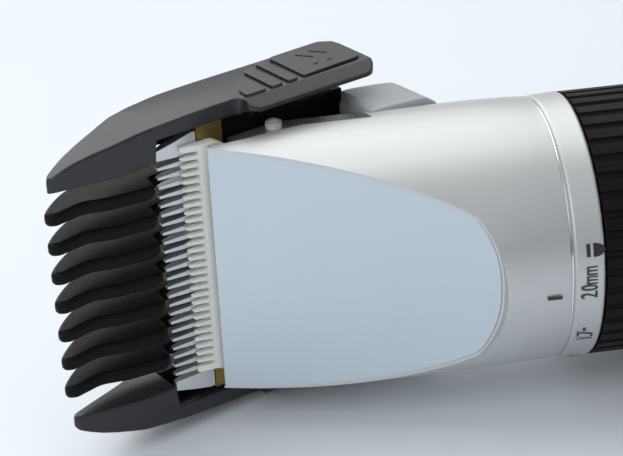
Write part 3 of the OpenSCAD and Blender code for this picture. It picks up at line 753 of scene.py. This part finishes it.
class CLIPPER_OT_head(bpy.types.Operator):
    """Finish the head housing, face plate, rear cover and trim"""
    bl_idname = "clipper.head"
    bl_label = "Head"

    def execute(self, context):
        rounded_node("head_shell", satin_silver(), sizes().edge, 2)
        self.face_plate()
        rounded_node("trim_ring", polished_trim(), 0.05 * MM, 2)
        rounded_node("head_base", dark_nylon(), 0.2 * MM, 2)
        rounded_node("comb_studs", white_nylon(), 0.1 * MM, 2)
        rounded_node("cover_screws", plain_steel(), 0.15 * MM, 3)
        self.rear_cover()
        self.index_mark()
        return {"FINISHED"}

    def face_plate(self):
        """The flat plate, cut to the housing's outline, with a bevel round its rim."""
        half = []
        for i in range(PLATE_STEPS + 1):
            along = math.sin(math.pi / 2 * i / PLATE_STEPS)
            x = PLATE_LOW.x + (PLATE_HIGH.x - PLATE_LOW.x) * along
            y = PLATE_NOSE.y - (x - PLATE_NOSE.x) * math.tan(PLATE_SLOPE)
            width = math.sqrt(PLATE_R ** 2 - y ** 2)
            past = (x - (PLATE_HIGH.x - PLATE_END_LEN)) / PLATE_END_LEN
            if past > 0:
                rounded = max(0.0, 1 - past ** PLATE_END_POWER) ** (1 / PLATE_END_POWER)
                width = min(width, PLATE_END_HALF * rounded)
            half.append(Vector((x, y, width)))
        outline = half + [Vector((p.x, p.y, -p.z)) for p in reversed(half[:-1])]
        bm = bmesh.new()
        top = bm.faces.new([bm.verts.new(p) for p in outline])
        inward = Vector((math.sin(PLATE_SLOPE), math.cos(PLATE_SLOPE), 0))
        sunk = bmesh.ops.extrude_face_region(bm, geom=[top])["geom"]
        bmesh.ops.translate(bm, verts=[v for v in sunk if isinstance(v, bmesh.types.BMVert)],
                            vec=inward * PLATE_THICK)
        bmesh.ops.recalc_face_normals(bm, faces=bm.faces)
        level = PLATE_NOSE.dot(inward) + PLATE_THICK / 2
        bevel_sharp(bm, sizes().plate_edge, 4, 50,
                    lambda e: all(v.co.dot(inward) < level for v in e.verts))
        add_piece(bm, "face_plate_finished", plate_satin_and_reflection(), "housing",
                  ("face_plate",))

    def rear_cover(self):
        """The squared heel, blended into one soft form."""
        bm = merged_copy("rear_cover")
        bmesh.ops.triangulate(bm, faces=bm.faces)
        piece = add_piece(bm, "rear_cover_finished", heel_grey(), "housing",
                          ("rear_cover",), flatten=False)
        blend = piece.modifiers.new("blend", "REMESH")
        blend.mode = "VOXEL"
        blend.voxel_size = 0.3 * MM
        blend.use_smooth_shade = True
        soften = piece.modifiers.new("soften", "SMOOTH")
        soften.factor = 0.5
        soften.iterations = 12

    def index_mark(self):
        """The dash on the housing that the ring's numbers turn past."""
        centre = (SEAM_X / MM - 3.3, -RING_R / MM - 0.13, -1.5)
        dash = block((2.4, 0.08, 0.55), centre, 0.03, 2)
        add_piece(dash, "index_mark", ink_black(), "housing")


class CLIPPER_OT_blades(bpy.types.Operator):
    """Finish the fixed and moving blades and what holds them"""
    bl_idname = "clipper.blades"
    bl_label = "Blades"

    def execute(self, context):
        rounded_node("fixed_blade", blade_steel(), 0.06 * MM, 2)
        rounded_node("base_plate", dull_brass(), 0.12 * MM, 2)
        rounded_node("blade_screws", plain_steel(), 0.1 * MM, 2)
        rounded_node("ceramic_blade", ceramic_white(), 0.03 * MM, 1, 60)
        rounded_node("blade_driver", dark_nylon(), 0.15 * MM, 2)
        rounded_node("cutter_slide", dark_nylon(), 0.12 * MM, 2)
        rounded_node("blade_springs", plain_steel(), 0.05 * MM, 2)
        return {"FINISHED"}


# ---------------------------------------------------------------- ring and handle


def on_ring(bm, angle, back):
    """Wraps a flat shape, x round the ring and y towards the head, onto the ring's outside."""
    radius = RING_R + INK_LIFT
    for vert in bm.verts:
        turn = angle + vert.co.x / radius
        reach = radius + vert.co.z
        vert.co = Vector((SEAM_X + back - vert.co.y, -reach * math.cos(turn), reach * math.sin(turn)))


def flat_text(words, height):
    """Numerals as a thin, narrow mesh, centred, x along the words."""
    curve = bpy.data.curves.new("numerals", "FONT")
    curve.body = words
    curve.size = height * 1.35
    curve.space_character = 0.95
    curve.align_x = "CENTER"
    curve.align_y = "CENTER"
    curve.extrude = 0.02 * MM
    curve.resolution_u = 6
    holder = new_object("numerals", curve)
    bpy.context.view_layer.update()
    evaluated = holder.evaluated_get(bpy.context.evaluated_depsgraph_get())
    mesh = bpy.data.meshes.new_from_object(evaluated)
    bm = bmesh.new()
    bm.from_mesh(mesh)
    bmesh.ops.remove_doubles(bm, verts=bm.verts, dist=0.001 * MM)
    bmesh.ops.scale(bm, verts=bm.verts, vec=(0.56, 1, 1))
    bpy.data.objects.remove(holder)
    bpy.data.curves.remove(curve)
    bpy.data.meshes.remove(mesh)
    return bm


class CLIPPER_OT_ring(bpy.types.Operator):
    """Finish the cut-length ring and print its numbers"""
    bl_idname = "clipper.ring"
    bl_label = "Cut-length Ring"

    def execute(self, context):
        rounded_node("adjust_ring", satin_silver(), 0.12 * MM, 3, 30)
        marks = bmesh.new()
        for i, length in enumerate(("2.0mm", "1.7", "1.4", "1.1", "0.8")):
            label = flat_text(length, sizes().letter)
            on_ring(label, NUMBER_TURN - i * NUMBER_STEP, NUMBER_BACK)
            join_into(marks, label)
            if i:
                dot = bmesh.new()
                bmesh.ops.create_circle(dot, cap_ends=True, segments=16, radius=DOT_R)
                on_ring(dot, DOT_TURN - i * NUMBER_STEP, DOT_BACK)
                join_into(marks, dot)
        join_into(marks, self.stop_mark())
        bmesh.ops.recalc_face_normals(marks, faces=marks.faces)
        add_piece(marks, "ring_numbers", ink_black(), "dial", flatten=False)
        return {"FINISHED"}

    def stop_mark(self):
        """A half disc and a bar beside the longest setting."""
        bm = bmesh.new()
        bmesh.ops.create_circle(bm, cap_ends=True, segments=28, radius=STOP_R)
        cut_at(bm, (0, 0, 0), (0, 1, 0), drop=True)
        bmesh.ops.scale(bm, verts=bm.verts, vec=(1, 1.7, 1))
        bar = bmesh.new()
        bmesh.ops.create_grid(bar, x_segments=3, y_segments=1, size=0.5)
        bmesh.ops.scale(bar, verts=bar.verts, vec=(2.1 * MM, 0.6 * MM, 1))
        bmesh.ops.translate(bar, verts=bar.verts, vec=(0, 0.8 * MM, 0))
        join_into(bm, bar)
        on_ring(bm, STOP_TURN, STOP_BACK)
        return bm


class CLIPPER_OT_handle(bpy.types.Operator):
    """Finish the grip, tail, switch and charge socket"""
    bl_idname = "clipper.handle"
    bl_label = "Handle"

    def execute(self, context):
        rounded_node("grip_sleeve", grip_rubber(), 0.1 * MM, 2, 30)
        rounded_node("handle_tube", moulded_black(), 0.15 * MM, 2)
        rounded_node("tail_cap", moulded_black(), 0.8 * MM, 5, 12)
        rounded_node("tail_screws", plain_steel(), 0.12 * MM, 2)
        rounded_node("charge_jack", moulded_black(), 0.15 * MM, 2)
        rounded_node("switch_bezel", polished_trim(), 0.15 * MM, 3)
        rounded_node("switch_button", moulded_black(), 0.2 * MM, 3)
        rounded_node("indicator_lens", clear_lens(), 0.2 * MM, 3)
        return {"FINISHED"}


class CLIPPER_OT_inside(bpy.types.Operator):
    """Give every inner part its finish"""
    bl_idname = "clipper.inside"
    bl_label = "Inner Parts"

    def execute(self, context):
        finishes = {
            plain_steel: ("motor_can", "motor_screws", "drive_shaft", "detent_ball", "detent_spring",
                          "cam_sleeve", "battery_contacts"),
            dark_nylon: ("chassis", "motor_cap", "battery_holder", "switch_body"),
            dull_brass: ("motor_terminals", "jack_contacts", "shaft_bush"),
            white_nylon: ("eccentric_cam",),
            grip_rubber: ("tail_seal",),
            cell_wrap: ("battery_cells",),
            board_green: ("circuit_board",),
            lead_red: ("motor_leads",),
            led_red: ("charge_led",),
        }
        for material, nodes in finishes.items():
            for node in nodes:
                slot = NODES[node].material_slots[0]
                slot.link = "OBJECT"
                slot.material = material()
        return {"FINISHED"}


# ---------------------------------------------------------------- stage


class CLIPPER_OT_stage(bpy.types.Operator):
    """Set the pale floor, soft studio light and camera"""
    bl_idname = "clipper.stage"
    bl_label = "Stage"

    def execute(self, context):
        self.floor()
        for settings in LIGHTS:
            self.light(*settings)
        self.world()
        self.camera()
        context.scene.view_settings.view_transform = "Standard"
        return {"FINISHED"}

    def floor(self):
        """The clipper lies on the comb's side and the grip's end, so the floor slopes a little."""
        slope = (GRIP_LOW.z + COMB_HALF) / (GRIP_HIGH.x - REST_X)
        bm = bmesh.new()
        bmesh.ops.create_grid(bm, x_segments=8, y_segments=8, size=FLOOR_HALF)
        for vert in bm.verts:
            vert.co.z = -COMB_HALF - FLOOR_GAP + (vert.co.x - REST_X) * slope
        mesh = bpy.data.meshes.new("floor")
        bm.to_mesh(mesh)
        bm.free()
        floor = new_object("floor", mesh)
        mesh.materials.append(table_pale())

    def light(self, name, place, size, power, colour):
        """A round lamp that faces the clipper's head."""
        lamp = bpy.data.lights.new(name, "AREA")
        lamp.shape = "DISK"
        lamp.size = size
        lamp.energy = power
        lamp.color = colour
        holder = new_object(name, lamp)
        holder.location = LIGHT_AIM + Vector(place)
        holder.rotation_euler = (-Vector(place)).to_track_quat("-Z", "Y").to_euler()

    def world(self):
        """Cool light, stronger from above and from behind the clipper."""
        world = bpy.data.worlds.new("studio")
        world.use_nodes = True
        tree = world.node_tree
        sky = tree.nodes["Background"]
        place = tree.nodes.new("ShaderNodeTexCoord")
        parts = add_node(tree, "ShaderNodeSeparateXYZ", {"Vector": place.outputs["Generated"]})
        above = add_node(tree, "ShaderNodeMapRange",
                         {"Value": parts.outputs["Z"], "From Min": 0.05, "From Max": 0.75,
                          "To Min": 0.22, "To Max": 0.55}, interpolation_type="SMOOTHSTEP")
        behind = add_node(tree, "ShaderNodeMapRange",
                          {"Value": parts.outputs["Y"], "From Min": 0.0, "From Max": 0.9,
                           "To Min": 0.0, "To Max": 0.25}, interpolation_type="SMOOTHSTEP")
        total = add_node(tree, "ShaderNodeMath",
                         {0: above.outputs["Result"], 1: behind.outputs["Result"]},
                         operation="ADD")
        sky.inputs["Color"].default_value = (0.95, 0.975, 1.0, 1)
        tree.links.new(total.outputs["Value"], sky.inputs["Strength"])
        bpy.context.scene.world = world

    def camera(self):
        """The camera that the photo was taken from."""
        lens = bpy.data.cameras.new("camera")
        lens.sensor_width = 36
        lens.lens = CAMERA_LENS
        lens.clip_start = 0.01
        holder = new_object("camera", lens)
        forward = CAMERA_FORWARD.normalized()
        right = forward.cross(CAMERA_UP).normalized()
        up = right.cross(forward)
        turn = Matrix((right, up, -forward)).transposed().to_4x4()
        holder.matrix_world = Matrix.Translation(CAMERA_PLACE) @ turn
        bpy.context.scene.camera = holder


class CLIPPER_PT_panel(bpy.types.Panel):
    """Lists the clipper's pieces and settings"""
    bl_idname = "CLIPPER_PT_panel"
    bl_label = "Hair Clipper"
    bl_space_type = "VIEW_3D"
    bl_region_type = "UI"
    bl_category = "Clipper"

    def draw(self, context):
        layout = self.layout
        for settings in (context.scene.clipper_sizes, context.scene.clipper_colours):
            box = layout.box()
            for key in settings.__annotations__:
                box.prop(settings, key)
        for operator in OPERATORS:
            layout.operator(operator.bl_idname)


OPERATORS = (CLIPPER_OT_head, CLIPPER_OT_blades, CLIPPER_OT_comb, CLIPPER_OT_ring, CLIPPER_OT_handle,
             CLIPPER_OT_inside, CLIPPER_OT_stage)
CLASSES = (CLIPPER_PG_sizes, CLIPPER_PG_colours, *OPERATORS, CLIPPER_PT_panel)


def register():
    for cls in CLASSES:
        bpy.utils.register_class(cls)
    bpy.types.Scene.clipper_sizes = PointerProperty(type=CLIPPER_PG_sizes)
    bpy.types.Scene.clipper_colours = PointerProperty(type=CLIPPER_PG_colours)


def unregister():
    del bpy.types.Scene.clipper_colours
    del bpy.types.Scene.clipper_sizes
    for cls in reversed(CLASSES):
        bpy.utils.unregister_class(cls)


def main():
    register()
    bpy.ops.clipper.head()
    bpy.ops.clipper.blades()
    bpy.ops.clipper.comb()
    bpy.ops.clipper.ring()
    bpy.ops.clipper.handle()
    bpy.ops.clipper.inside()
    bpy.ops.clipper.stage()


if __name__ == "__main__":
    main()
